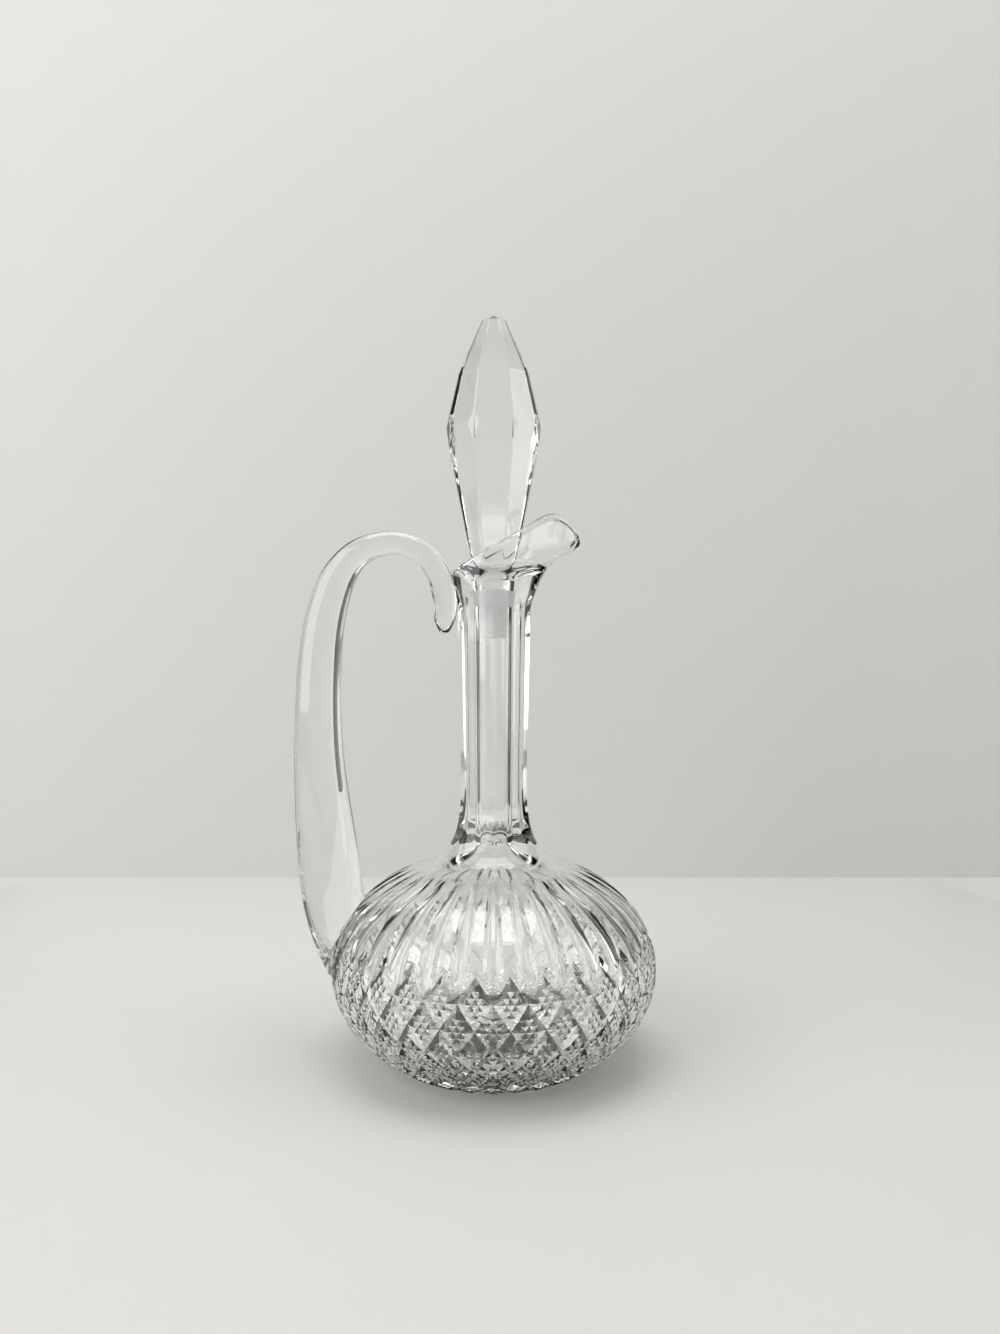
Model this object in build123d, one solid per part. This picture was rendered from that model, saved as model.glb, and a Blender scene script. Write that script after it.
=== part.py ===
from build123d import *
import math
import os

# Cut glass claret ewer: blown and wheel-cut body, applied loop handle, ground stopper.
# Millimetres, +Z up, origin at the middle of the foot, pouring lip towards +X.

# Bulb: a flattened ball whose outline is one ellipse, ground flat at the foot
bulb_radius = 66.5
bulb_half_height = 46.0
bulb_centre_height = 37.5
bulb_wall = 5.5
floor_thickness = 8.0
floor_corner_radius = 12.0

# Cutting on the bulb
column_count = 32
groove_depth = 1.25
table_share = 0.70
diamond_steps = 7
belt_height = 53.0
foot_band_height = 1.9
flute_share = 0.60
flute_depth = 1.55
flute_inner_share = 0.55
land_tip_rise = 5.0
groove_wall_rise = 1.6
rail_points = 9

# Star cut under the foot
star_points = 16
star_radius = 33.0
star_notch_radius = 14.0
star_depth = 2.0

# Neck
ring_radius = 31.0
ring_step = 0.15
ring_lap = 1.2
neck_waist_radius = 13.5
neck_waist_height = 118.5
neck_foot_pull = 15.5
neck_waist_pull = 28.0
neck_top_radius = 14.9
neck_top_height = 183.5
bore_waist_radius = 5.8
bore_root_radius = 6.0
panel_count = 8
panel_foot_radius = 26.0
panel_foot_height = 85.0
panel_foot_pull = 10.5
panel_run_out_radius = 20.0

# Pouring lip
lip_wall = 2.6
lip_half_width = 15.6
lip_reach = 35.6
lip_nose_height = 210.5
lip_back_reach = 17.0
lip_back_share = 0.55
lip_pinch = 0.42
lip_outline_points = 16

# Sections of the lip: share of the rise to its nose, of the spout's reach, of the pinch
lip_sections = [
    (0.20, 0.08, 0.05),
    (0.42, 0.20, 0.25),
    (0.60, 0.33, 0.50),
    (0.74, 0.53, 0.70),
    (0.87, 0.88, 0.90),
    (1.00, 1.00, 1.00),
    (1.25, 1.06, 1.05),
    (1.55, 1.08, 1.05),
]

# Rim seen from the side: straight up from the back to the bend, then round over the spout
rim_back = (-17.0, 198.5)
rim_bend = (12.0, 215.2)
rim_crest = [(21.7, 221.1), (26.2, 220.4), (31.1, 217.2), (34.8, 212.3)]
rim_end = (35.8, 208.0)

# Stopper
plug_top_radius = 7.2
plug_taper = 1.0 / 12.0
plug_length = 24.0
plug_top_height = 195.5
plug_end_chamfer = 0.6
plug_clearance = 0.09
plug_collar = 1.2
collar_step = 0.3
seat_length = 11.0
finial_sides = 8
shank_apothem = 11.0
shank_height = 211.0
shoulder_apothem = 18.2
shoulder_height = 249.5
girdle_apothem = 19.0
girdle_height = 255.5
crown_apothem = 14.0
crown_height = 277.5
cap_apothem = 4.9
cap_height = 299.4
overall_height = 302.0
girdle_corner_trim = 1.0

# Handle: reach, height and thickness of the rod, from the tail on the neck round to the bulb
handle_breadth_share = 0.86
handle_stations = [
    (20.4, 174.0, 4.0),
    (20.1, 178.5, 8.4),
    (19.9, 187.0, 10.2),
    (22.1, 197.0, 10.6),
    (29.8, 206.6, 9.8),
    (42.5, 210.2, 9.8),
    (56.5, 205.2, 11.8),
    (65.3, 192.0, 15.2),
    (70.6, 168.7, 17.4),
    (71.9, 126.7, 20.0),
    (68.4, 82.9, 25.0),
    (65.9, 63.5, 25.4),
    (57.2, 39.0, 25.0),
]


def bulb_latitude(height):
    """Angle on the bulb's ellipse at a height, 0 at the widest belt."""
    return math.asin((height - bulb_centre_height) / bulb_half_height)


def bulb_radius_at(latitude):
    return bulb_radius * math.cos(latitude)


def bulb_point(turn, latitude, depth=0.0):
    """Point on the bulb, sunk square to the surface by depth. turn is in degrees."""
    out = math.cos(latitude) / bulb_radius
    up = math.sin(latitude) / bulb_half_height
    length = math.hypot(out, up)
    radius = bulb_radius_at(latitude) - depth * out / length
    height = bulb_centre_height + bulb_half_height * math.sin(latitude) - depth * up / length
    angle = math.radians(turn)
    return Vector(radius * math.cos(angle), radius * math.sin(angle), height)


def triangle(a, b, c):
    return Face(Wire.make_polygon([a, b, c], close=True))


def lattice_latitudes():
    """Rows of groove crossings, spaced in step with the columns so the diamonds keep one shape."""
    start = bulb_latitude(belt_height)
    end = bulb_latitude(foot_band_height)
    samples = 400
    measure = [0.0]
    for i in range(samples):
        latitude = start + (end - start) * (i + 0.5) / samples
        rate = math.hypot(bulb_radius * math.sin(latitude), bulb_half_height * math.cos(latitude))
        measure.append(measure[-1] + rate / bulb_radius_at(latitude))
    rows = []
    for step in range(diamond_steps + 1):
        wanted = measure[-1] * step / diamond_steps
        i = next(k for k, value in enumerate(measure) if value >= wanted - 1e-9)
        rows.append(start + (end - start) * i / samples)
    return rows


pitch = 360.0 / column_count
rows = lattice_latitudes()


def node(row, half_columns):
    """Crossing of two mitre grooves. half_columns counts half pitches round the bulb."""
    return bulb_point(half_columns * pitch / 2, rows[row], groove_depth)


def cut_diamond(row, half_columns):
    """One raised diamond: four groove walls and a table that follows the bulb."""
    corners = [
        node(row, half_columns),
        node(row + 1, half_columns + 1),
        node(row + 2, half_columns),
        node(row + 1, half_columns - 1),
    ]
    turn = half_columns * pitch / 2
    side = pitch / 2 * table_share
    middle = rows[row + 1]
    table = [
        bulb_point(turn, middle + (rows[row] - middle) * table_share),
        bulb_point(turn + side, middle),
        bulb_point(turn, middle + (rows[row + 2] - middle) * table_share),
        bulb_point(turn - side, middle),
    ]
    peak = bulb_point(turn, middle)
    faces = []
    for i in range(4):
        j = (i + 1) % 4
        faces.append(triangle(corners[i], corners[j], table[j]))
        faces.append(triangle(corners[i], table[j], table[i]))
        faces.append(triangle(table[i], table[j], peak))
    return faces


def foot_half_diamond(half_columns):
    """Last row: the upper half of a diamond, then the plain band down to the foot."""
    last = diamond_steps
    top = node(last - 1, half_columns)
    right = node(last, half_columns + 1)
    left = node(last, half_columns - 1)
    turn = half_columns * pitch / 2
    side = pitch / 2 * table_share
    table_top = bulb_point(turn, rows[last] + (rows[last - 1] - rows[last]) * table_share)
    table_right = bulb_point(turn + side, rows[last])
    table_left = bulb_point(turn - side, rows[last])
    foot_latitude = bulb_latitude(0.0)
    foot_left = bulb_point(turn - pitch / 2, foot_latitude)
    foot_middle = bulb_point(turn, foot_latitude)
    foot_right = bulb_point(turn + pitch / 2, foot_latitude)
    return [
        triangle(top, right, table_right),
        triangle(top, table_right, table_top),
        triangle(top, table_top, table_left),
        triangle(top, table_left, left),
        triangle(table_top, table_right, table_left),
        triangle(left, table_left, foot_left),
        triangle(table_left, foot_middle, foot_left),
        triangle(table_left, table_right, foot_middle),
        triangle(table_right, foot_right, foot_middle),
        triangle(table_right, right, foot_right),
    ]


def flute_rail(turn, depth_share, end):
    """Line that a flute's facets share, from under the neck ring down to its end point."""
    top = math.acos((ring_radius - ring_lap) / bulb_radius)
    flat_radius = math.hypot(end.X, end.Y)
    bottom = math.atan2((end.Z - bulb_centre_height) / bulb_half_height, flat_radius / bulb_radius)
    points = []
    for i in range(rail_points):
        latitude = top + (bottom - top) * i / rail_points
        depth = flute_depth * depth_share * bulb_radius_at(latitude) / bulb_radius
        points.append(bulb_point(turn, latitude, depth))
    points.append(end)
    return Edge.make_spline(points)


def shoulder_flute(column):
    """One hollow flute of four facets and the plain land beside it."""
    turn = column * pitch
    edge_turn = pitch / 2 * flute_share
    inner_turn = edge_turn * flute_inner_share
    inner_depth = 1 - flute_inner_share ** 2
    bottom = node(1, 2 * column)
    crown = Vector(0, 0, bulb_centre_height + bulb_half_height)
    land_end = rows[0] + math.radians(land_tip_rise)
    groove_latitude = rows[1] + (rows[0] - rows[1]) * inner_turn / (pitch / 2)
    inner_latitude = groove_latitude + math.radians(groove_wall_rise)
    faces = []
    edge_rails = []
    middle_rail = flute_rail(turn, 1.0, bottom)
    for side in (-1, 1):
        tip = node(0, 2 * column + side)
        inner_end = bulb_point(turn + side * inner_turn, inner_latitude, groove_depth * inner_depth)
        edge_end = bulb_point(turn + side * edge_turn, land_end)
        inner_rail = flute_rail(turn + side * inner_turn, inner_depth, inner_end)
        edge_rail = flute_rail(turn + side * edge_turn, 0.0, edge_end)
        faces.append(triangle(bottom, inner_end, tip))
        faces.append(Face.make_surface_from_curves(middle_rail, inner_rail))
        faces.append(Face.make_surface_from_curves(inner_rail, edge_rail))
        faces.append(triangle(inner_end, edge_end, tip))
        edge_rails.append(edge_rail)
        faces.append(triangle(middle_rail @ 0, inner_rail @ 0, crown))
        faces.append(triangle(inner_rail @ 0, edge_rail @ 0, crown))
    next_turn = turn + pitch - edge_turn
    next_end = bulb_point(next_turn, land_end)
    next_rail = flute_rail(next_turn, 0.0, next_end)
    tip = node(0, 2 * column + 1)
    faces.append(Face.make_surface_from_curves(edge_rails[1], next_rail))
    faces.append(triangle(edge_rails[1] @ 1, next_end, tip))
    faces.append(triangle(edge_rails[1] @ 0, next_rail @ 0, crown))
    return faces


def foot_star():
    """Flat resting ring of the foot and the sixteen-point star cut inside it."""
    foot_latitude = bulb_latitude(0.0)
    rim = [bulb_point(i * pitch / 2, foot_latitude) for i in range(2 * column_count)]
    star = []
    for i in range(2 * star_points):
        reach = star_radius if i % 2 == 0 else star_notch_radius
        angle = math.pi * i / star_points
        star.append(Vector(reach * math.cos(angle), reach * math.sin(angle), 0))
    ring = Face(Wire.make_polygon(rim, close=True), [Wire.make_polygon(star, close=True)])
    heart = Vector(0, 0, star_depth)
    facets = [triangle(heart, star[i], star[(i + 1) % len(star)]) for i in range(len(star))]
    return [ring] + facets


def cut_bulb():
    """Outside of the bulb with every flute and diamond, closed under the neck."""
    faces = foot_star()
    for column in range(column_count):
        faces += shoulder_flute(column)
        faces += foot_half_diamond(2 * column + diamond_steps % 2)
        for row in range(diamond_steps - 1):
            faces += cut_diamond(row, 2 * column + (row + 1) % 2)
    return Solid(Shell(faces))


def shoulder_slope():
    """Lean of the bulb's surface where the neck ring stands on it, from level, in radians."""
    latitude = math.acos(ring_radius / bulb_radius)
    return math.atan2(bulb_half_height * math.cos(latitude), bulb_radius * math.sin(latitude))


def ring_height():
    return bulb_point(0, math.acos(ring_radius / bulb_radius)).Z


def neck_blank():
    """Turned neck: a plain flare off the shoulder and a slim waisted stem."""
    base_height = ring_height() - bulb_wall - ring_lap
    step_height = ring_height() + ring_step
    ring_top = (ring_radius, step_height)
    stem_top = (neck_top_radius, neck_top_height)
    stem = Line((neck_waist_radius, neck_waist_height), stem_top)
    slope = shoulder_slope()
    foot_pull = Vector(ring_top) + Vector(-math.cos(slope), math.sin(slope)) * neck_foot_pull
    outline = [
        Line((0, base_height), (ring_radius, base_height)),
        Line((ring_radius, base_height), ring_top),
        Bezier(ring_top, foot_pull, stem @ 0 - stem % 0 * neck_waist_pull, stem @ 0),
        stem,
        Line(stem_top, (0, neck_top_height)),
        Line((0, neck_top_height), (0, base_height)),
    ]
    return revolve(Plane.XZ * make_face(outline), Axis.Z)


def lip_section(height, back, front, half_width, pinch):
    """Egg-shaped section of the lip, narrower towards the pouring end."""
    middle = (front - back) / 2
    half_length = (front + back) / 2
    points = []
    for i in range(lip_outline_points):
        angle = 2 * math.pi * i / lip_outline_points
        narrow = 1 - pinch * ((1 + math.cos(angle)) / 2) ** 2
        x = middle + half_length * math.cos(angle)
        y = half_width * math.sin(angle) * narrow
        points.append(Vector(x, y, height))
    return Face(Wire([Edge.make_spline(points, periodic=True)]))


def lip_form(wall):
    """Sections of the lip drawn in by wall; the spout leaves the neck as an open trough."""
    rise = lip_nose_height - neck_top_height
    swell = lip_reach - neck_top_radius
    faces = []
    for up, out, pinch in lip_sections:
        height = neck_top_height + up * rise
        back = neck_top_radius + (lip_back_reach - neck_top_radius) * min(1.0, up / lip_back_share)
        front = neck_top_radius + swell * out
        half_width = lip_half_width - wall
        faces.append(lip_section(height, back - wall, front - wall, half_width, lip_pinch * pinch))
    return faces


def lip_outside():
    start = Plane.XY.offset(neck_top_height) * Circle(neck_top_radius)
    return loft([start] + lip_form(0.0))


def lip_inside():
    """Mouth and trough: a short funnel up from the ground seat, then the lip's own shape."""
    start = Plane.XY.offset(plug_top_height - 1) * Circle(plug_top_radius + lip_wall / 2)
    kept = [face for face in lip_form(lip_wall) if face.center().Z > plug_top_height + lip_wall]
    raised = [Pos(0, 0, lip_wall / 2) * face for face in kept]
    return loft([start, raised[0]], ruled=True) + loft(raised)


def rim_cutter():
    """Everything above the rim, from far behind the handle side to far in front of the spout."""
    far = 3 * lip_reach
    rim_slope = Vector(rim_bend) - Vector(rim_back)
    low = Vector(rim_bend) - rim_slope * (far / rim_slope.X)
    crest = Spline(rim_bend, *rim_crest, rim_end, tangents=[rim_slope, (0, -1)])
    below = (rim_end[0], neck_top_height)
    closing = Polyline(rim_end, below, (far, neck_top_height), (far, 2 * far + low.Y), low, rim_bend)
    profile = make_face([crest, closing])
    return extrude(Plane.XZ * profile, amount=far, both=True)


def panel_cutter():
    """Glass that one flat neck panel removes; the cut fades into the flare and under the lip."""
    flat = math.cos(math.pi / panel_count)
    reach = 3 * neck_top_radius
    low = (panel_foot_radius, panel_foot_height)
    low_pull = (panel_foot_radius - panel_foot_pull, panel_foot_height)
    top = (neck_top_radius * flat, neck_top_height)
    side = Line((neck_waist_radius * flat, neck_waist_height), top)
    foot = Bezier(low, low_pull, side @ 0 - side % 0 * neck_waist_pull, side @ 0)
    high = (top[0] + panel_run_out_radius, top[1] + panel_run_out_radius)
    run_out = RadiusArc(top, high, panel_run_out_radius)
    closing = Polyline(high, (reach, high[1]), (reach, low[1]), low)
    profile = make_face([foot, side, run_out, closing])
    return extrude(Plane.XZ * profile, amount=reach / 2, both=True)


def plug_radius_at(height):
    return plug_top_radius - (plug_top_height - height) * plug_taper


def body_inside():
    """Room for the wine: bulb, bore and the conical seat that is ground for the stopper."""
    radius = bulb_radius - bulb_wall
    half_height = bulb_half_height - bulb_wall
    floor_angle = math.asin((floor_thickness - bulb_centre_height) / half_height)
    neck_angle = math.acos(bore_waist_radius / radius)
    seat_low = plug_top_height - seat_length
    seat_low_radius = plug_radius_at(seat_low) + plug_clearance
    mouth_height = plug_top_height + 1
    mouth_radius = plug_radius_at(mouth_height) + plug_clearance
    wall = EllipticalCenterArc(
        (0, bulb_centre_height),
        radius,
        half_height,
        start_angle=math.degrees(floor_angle),
        arc_size=math.degrees(neck_angle - floor_angle),
    )
    floor_edge = wall @ 0
    neck_edge = wall @ 1
    lines = Polyline(
        neck_edge,
        (seat_low_radius, seat_low),
        (mouth_radius, mouth_height),
        (0, mouth_height),
        (0, floor_thickness),
        floor_edge,
    )
    profile = make_face([wall, lines])
    floor_corner = profile.vertices().sort_by_distance(floor_edge)[0]
    profile = fillet(floor_corner, floor_corner_radius)
    root_corner = profile.vertices().sort_by_distance(neck_edge)[0]
    profile = fillet(root_corner, bore_root_radius)
    return revolve(Plane.XZ * profile, Axis.Z)


def ewer_outside():
    """Body with its panels, lip and mouth cut, still solid below the stopper's seat."""
    stem = neck_blank() + lip_outside()
    cutter = Rot(0, 0, 180.0 / panel_count) * panel_cutter()
    stem = stem - [Rot(0, 0, 360.0 * i / panel_count) * cutter for i in range(panel_count)]
    stem = stem - rim_cutter() - lip_inside()
    return stem + cut_bulb()


def finial_tier(height, apothem):
    half_turn = 180.0 / finial_sides
    plane = Plane.XY.offset(height)
    return plane * RegularPolygon(apothem, finial_sides, major_radius=False, rotation=half_turn)


def stopper_solid():
    """Eight-sided spire with a girdle of corner facets, on a plain ground plug."""
    collar_height = plug_top_height + plug_collar
    tiers = [
        (collar_height, plug_top_radius + collar_step),
        (shank_height, shank_apothem),
        (shoulder_height, shoulder_apothem),
        (girdle_height, girdle_apothem),
        (crown_height, crown_apothem),
        (cap_height, cap_apothem),
    ]
    spire = loft([finial_tier(*tier) for tier in tiers], ruled=True)
    cap = loft([finial_tier(cap_height, cap_apothem), Vertex(0, 0, overall_height)], ruled=True)
    corner_radius = girdle_apothem / math.cos(math.pi / finial_sides)
    trim = Plane.XY.offset(plug_top_height) * RegularPolygon(
        corner_radius - girdle_corner_trim,
        finial_sides,
        major_radius=False,
    )
    spire = (spire + cap) & extrude(trim, amount=overall_height - plug_top_height)
    plug_end = plug_top_height - plug_length
    plug = [
        (0, plug_end),
        (plug_radius_at(plug_end) - plug_end_chamfer, plug_end),
        (plug_radius_at(plug_end + plug_end_chamfer), plug_end + plug_end_chamfer),
        (plug_top_radius, plug_top_height),
        (plug_top_radius, collar_height),
        (0, collar_height),
    ]
    return spire + revolve(Plane.XZ * make_face(Polyline(*plug, close=True)), Axis.Z)


def handle_solid():
    """Loop drawn from one gather: stout at the bulb, thin over the arch, tail laid on the neck."""
    path = Spline(*[(-reach, 0, height) for reach, height, _ in handle_stations])
    sections = []
    for reach, height, thickness in handle_stations:
        at = path.param_at_point((-reach, 0, height))
        plane = Plane(origin=path @ at, x_dir=(0, 1, 0), z_dir=path % at)
        sections.append(plane * Ellipse(thickness * handle_breadth_share / 2, thickness / 2))
    return loft(sections)


outside = ewer_outside()
ewer_body = outside - body_inside()
handle = handle_solid() - outside
stopper = stopper_solid()

nodes = {"ewer_body": ewer_body, "handle": handle, "stopper": stopper}

os.makedirs("parts", exist_ok=True)
for name, shape in nodes.items():
    export_step(shape, f"parts/{name}.step")
    print(name, round(shape.volume / 1000, 1), "cm3", shape.bounding_box())
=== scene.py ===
import math

import bmesh
import bpy
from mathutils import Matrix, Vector
from mathutils.geometry import interpolate_bezier


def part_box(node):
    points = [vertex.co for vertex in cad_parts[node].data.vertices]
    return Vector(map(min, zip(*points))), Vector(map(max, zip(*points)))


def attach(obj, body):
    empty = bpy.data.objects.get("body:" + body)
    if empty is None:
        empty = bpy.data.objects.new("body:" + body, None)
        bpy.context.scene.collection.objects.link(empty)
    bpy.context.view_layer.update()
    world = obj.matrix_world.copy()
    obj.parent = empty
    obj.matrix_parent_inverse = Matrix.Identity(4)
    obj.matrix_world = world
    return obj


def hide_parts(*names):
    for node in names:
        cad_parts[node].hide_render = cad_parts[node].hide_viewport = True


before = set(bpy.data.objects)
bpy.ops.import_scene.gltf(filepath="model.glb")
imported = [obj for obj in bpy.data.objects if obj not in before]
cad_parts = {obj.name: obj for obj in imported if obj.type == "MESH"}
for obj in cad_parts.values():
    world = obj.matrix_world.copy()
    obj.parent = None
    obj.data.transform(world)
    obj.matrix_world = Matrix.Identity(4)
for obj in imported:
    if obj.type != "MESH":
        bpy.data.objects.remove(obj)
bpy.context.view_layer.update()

bl_info = {
    "name": "Cut glass claret ewer",
    "version": (1, 0, 0),
    "blender": (4, 5, 0),
    "location": "View3D > Sidebar > Ewer",
    "description": "Builds a cut glass ewer with its handle and stopper over its packed frame",
    "category": "Add Mesh",
}

EWER_LOW, EWER_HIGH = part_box("ewer_body")
STOPPER_LOW, STOPPER_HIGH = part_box("stopper")


def mm(value):
    return value / 1000


# Bulb: one flattened ball, ground flat at the foot
BULB_RADIUS = EWER_HIGH.x
BULB_HALF_HEIGHT = mm(46)
BULB_CENTRE = mm(37.5)
BULB_WALL = mm(5.5)
BULB_INNER_RINGS = 36
FLOOR_HEIGHT = mm(8)
FLOOR_RADIUS = mm(38)
FLOOR_CORNER = mm(3)
FLOOR_HEART = mm(4)

# Cutting: 32 flutes over seven rows of grooves, each diamond crosshatched
HALF_COLUMNS = 64
HALF_PITCH = 2 * math.pi / HALF_COLUMNS
ROW_COUNT = 7
BELT_HEIGHT = mm(53)
FOOT_BAND_HEIGHT = mm(1.9)
GROOVE_WALL = 0.15
HATCH_STEPS = 6
FLUTE_EDGE = 0.5875
FLUTE_RINGS = 14
FLUTE_FADE = math.radians(9)
STAR_REACH = mm(33)
STAR_NOTCH = mm(14)
STAR_DEPTH = mm(2)
STAR_STEP = 0.6

# Neck and the flare it stands on
RING_RADIUS = mm(31)
WAIST_RADIUS = mm(13.5)
WAIST_HEIGHT = mm(118.5)
FOOT_PULL = mm(15.5)
WAIST_PULL = mm(28)
STEM_TOP_RADIUS = mm(14.9)
STEM_TOP_HEIGHT = mm(183.5)
NECK_COLUMNS = 128
PANELS = 8
PANEL_FOOT = (mm(86), mm(97))
PANEL_HEAD = (mm(181.5), mm(193))
FLARE_RINGS = 24
STEM_RINGS = 8
BORE_FOOT = [(mm(5.8), mm(86.5)), (mm(11.3), mm(81.0)), (mm(18.7), mm(76.7)), (mm(28.0), mm(73.45))]
BORE_FOOT_STEP = mm(1.5)
BORE_RINGS = 5
BORE_FOOT_RINGS = 12

# Lip: share of the rise to its nose, of the spout's reach, of the pinch
LIP_HALF_WIDTH = mm(15.6)
LIP_BACK = mm(17)
LIP_REACH = mm(35.6)
LIP_NOSE_HEIGHT = mm(210.5)
LIP_WALL = mm(2.6)
LIP_PINCH = 0.42
LIP_RINGS = 22
LIP_INNER_RINGS = 14
RIM_ROUNDING = 0.42
LIP_SECTIONS = [
    (0.00, 0.00, 0.00),
    (0.20, 0.08, 0.05),
    (0.42, 0.20, 0.25),
    (0.60, 0.33, 0.50),
    (0.74, 0.53, 0.70),
    (0.87, 0.88, 0.90),
    (1.00, 1.00, 1.00),
    (1.25, 1.06, 1.05),
    (1.55, 1.08, 1.05),
]

# Rim seen from the side, from the back round over the spout
RIM = [
    (mm(-17.0), mm(198.5)),
    (mm(12.0), mm(215.2)),
    (mm(21.7), mm(220.7)),
    (mm(26.2), mm(220.2)),
    (mm(31.1), mm(217.2)),
    (mm(34.8), mm(212.3)),
    (mm(35.8), mm(208.0)),
]

# Stopper and its ground seat
PLUG_TOP = mm(195.5)
PLUG_RADIUS = mm(7.2)
PLUG_TAPER = 1 / 12
PLUG_CLEARANCE = mm(0.09)
PLUG_COLLAR = mm(1.2)
PLUG_CHAMFER = mm(0.6)
GRIND_TOP = mm(191)
SEAT_LOW = mm(184.5)
LEDGE_HEIGHT = PLUG_TOP - mm(1)
LEDGE_BLEND = mm(7)
FACETS = 8
STOPPER_COLUMNS = 48
GIRDLE_TRIM = mm(1)
ARRIS_MARGIN = mm(0.5)
FINIAL_TIERS = [
    (mm(196.7), mm(7.5)),
    (mm(211.0), mm(11.0)),
    (mm(249.5), mm(18.2)),
    (mm(255.5), mm(19.0)),
    (mm(277.5), mm(14.0)),
    (mm(299.4), mm(4.9)),
]

# Handle: reach from the axis, height and thickness of the rod, from the tail round to the bulb
HANDLE_BREADTH = 0.86
HANDLE_COLUMNS = 48
HANDLE_RINGS = 120
HANDLE_SINK = mm(1.8)
TAIL_CAP = mm(0.3)
TAIL_SHRINK = 0.8
HANDLE_STATIONS = [
    (mm(20.4), mm(174.0), mm(4.0)),
    (mm(20.1), mm(178.5), mm(8.4)),
    (mm(19.9), mm(187.0), mm(10.1)),
    (mm(22.1), mm(197.0), mm(10.4)),
    (mm(29.8), mm(206.6), mm(9.7)),
    (mm(42.5), mm(210.2), mm(9.7)),
    (mm(56.5), mm(205.2), mm(11.7)),
    (mm(65.3), mm(192.0), mm(15.1)),
    (mm(70.6), mm(168.7), mm(17.3)),
    (mm(71.9), mm(126.7), mm(19.9)),
    (mm(68.4), mm(82.9), mm(24.9)),
    (mm(65.9), mm(63.5), mm(25.3)),
    (mm(62.4), mm(50.9), mm(25.2)),
    (mm(60.1), mm(44.8), mm(25.0)),
    (mm(57.2), mm(39.0), mm(24.9)),
]

# Distances under which vertices are welded: in one ring, and along the seams of the body
RING_WELD = mm(0.01)
SEAM_WELD = mm(0.004)

# Crystal: index, waves per metre, grain of polished and ground faces, clearness of ground faces
GLASS_INDEX = 1.545
RIPPLE_SCALE = 55.0
GRAIN_SCALE = 2500.0
POLISHED_GRAIN = 0.02
GROUND_GRAIN = 0.6
GROUND_CLEARNESS = 0.6

# Camera of the photograph: place, degrees it looks down and lens
CAMERA_PLACE = (mm(2.5), mm(-410), mm(172.5))
CAMERA_DIP = 1.8
CAMERA_LENS = 27.04


def eased(stations, at):
    """Smooth value at a place along (place, value) stations."""
    if at <= stations[0][0]:
        return stations[0][1]
    if at >= stations[-1][0]:
        return stations[-1][1]
    i = next(k for k in range(len(stations) - 1) if at < stations[k + 1][0])

    def slope(k):
        a = stations[max(k - 1, 0)]
        b = stations[min(k + 1, len(stations) - 1)]
        return (b[1] - a[1]) / (b[0] - a[0])

    span = stations[i + 1][0] - stations[i][0]
    t = (at - stations[i][0]) / span
    start = stations[i][1] * (1 + 2 * t) * (1 - t) ** 2 + stations[i + 1][1] * t * t * (3 - 2 * t)
    return start + span * (slope(i) * t * (1 - t) ** 2 - slope(i + 1) * t * t * (1 - t))


def smooth_step(low, high, value):
    t = min(1.0, max(0.0, (value - low) / (high - low)))
    return t * t * (3 - 2 * t)


def around(turn, radius, height):
    """Point round the ewer's axis. turn counts half pitches of the cutting."""
    angle = turn * HALF_PITCH
    return Vector((radius * math.cos(angle), radius * math.sin(angle), height))


def latitude_at(height):
    """Angle on the bulb's outline, 0 at its widest belt."""
    return math.asin((height - BULB_CENTRE) / BULB_HALF_HEIGHT)


def bulb_point(turn, latitude, depth):
    """Point on the bulb sunk square to its surface."""
    out = math.cos(latitude) / BULB_RADIUS
    up = math.sin(latitude) / BULB_HALF_HEIGHT
    length = math.hypot(out, up)
    radius = BULB_RADIUS * math.cos(latitude) - depth * out / length
    height = BULB_CENTRE + BULB_HALF_HEIGHT * math.sin(latitude) - depth * up / length
    return around(turn, radius, height)


def row_latitudes():
    """Rows of groove crossings, closer together where the bulb is narrower."""
    start = latitude_at(BELT_HEIGHT)
    end = latitude_at(FOOT_BAND_HEIGHT)
    samples = 400
    measure = [0.0]
    for i in range(samples):
        latitude = start + (end - start) * (i + 0.5) / samples
        rate = math.hypot(BULB_RADIUS * math.sin(latitude), BULB_HALF_HEIGHT * math.cos(latitude))
        measure.append(measure[-1] + rate / (BULB_RADIUS * math.cos(latitude)))
    rows = []
    for step in range(ROW_COUNT + 1):
        wanted = measure[-1] * step / ROW_COUNT
        i = next(k for k, value in enumerate(measure) if value >= wanted - 1e-9)
        rows.append(start + (end - start) * i / samples)
    return rows


ROWS = row_latitudes()


def row_latitude(row):
    """Latitude at a row number that may lie between two rows."""
    i = min(int(row), ROW_COUNT - 1)
    return ROWS[i] + (ROWS[i + 1] - ROWS[i]) * (row - i)


def cut_steps():
    """Where mesh lines cross one side of a diamond: a groove wall at each end, hatching between."""
    inner = [GROOVE_WALL + (1 - 2 * GROOVE_WALL) * i / HATCH_STEPS for i in range(HATCH_STEPS + 1)]
    return [0.0] + inner + [1.0]


STEPS = cut_steps()
CUTS = len(STEPS) - 1
CUT_TURNS = [half + STEPS[i] for half in range(HALF_COLUMNS) for i in range(CUTS)]


def even_turns(columns):
    return [i * HALF_COLUMNS / columns for i in range(columns)]


def new_ring(bm, turns):
    """Circle of vertices whose layer "turn" holds the half pitches round the ewer."""
    layer = bm.verts.layers.float.get("turn") or bm.verts.layers.float.new("turn")
    made = bmesh.ops.create_circle(bm, segments=len(turns), radius=1.0)
    for vert in made["verts"]:
        place = math.atan2(vert.co.y, vert.co.x) / (2 * math.pi) * len(turns)
        vert[layer] = turns[round(place) % len(turns)]
    return list({edge for vert in made["verts"] for edge in vert.link_edges})


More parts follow.
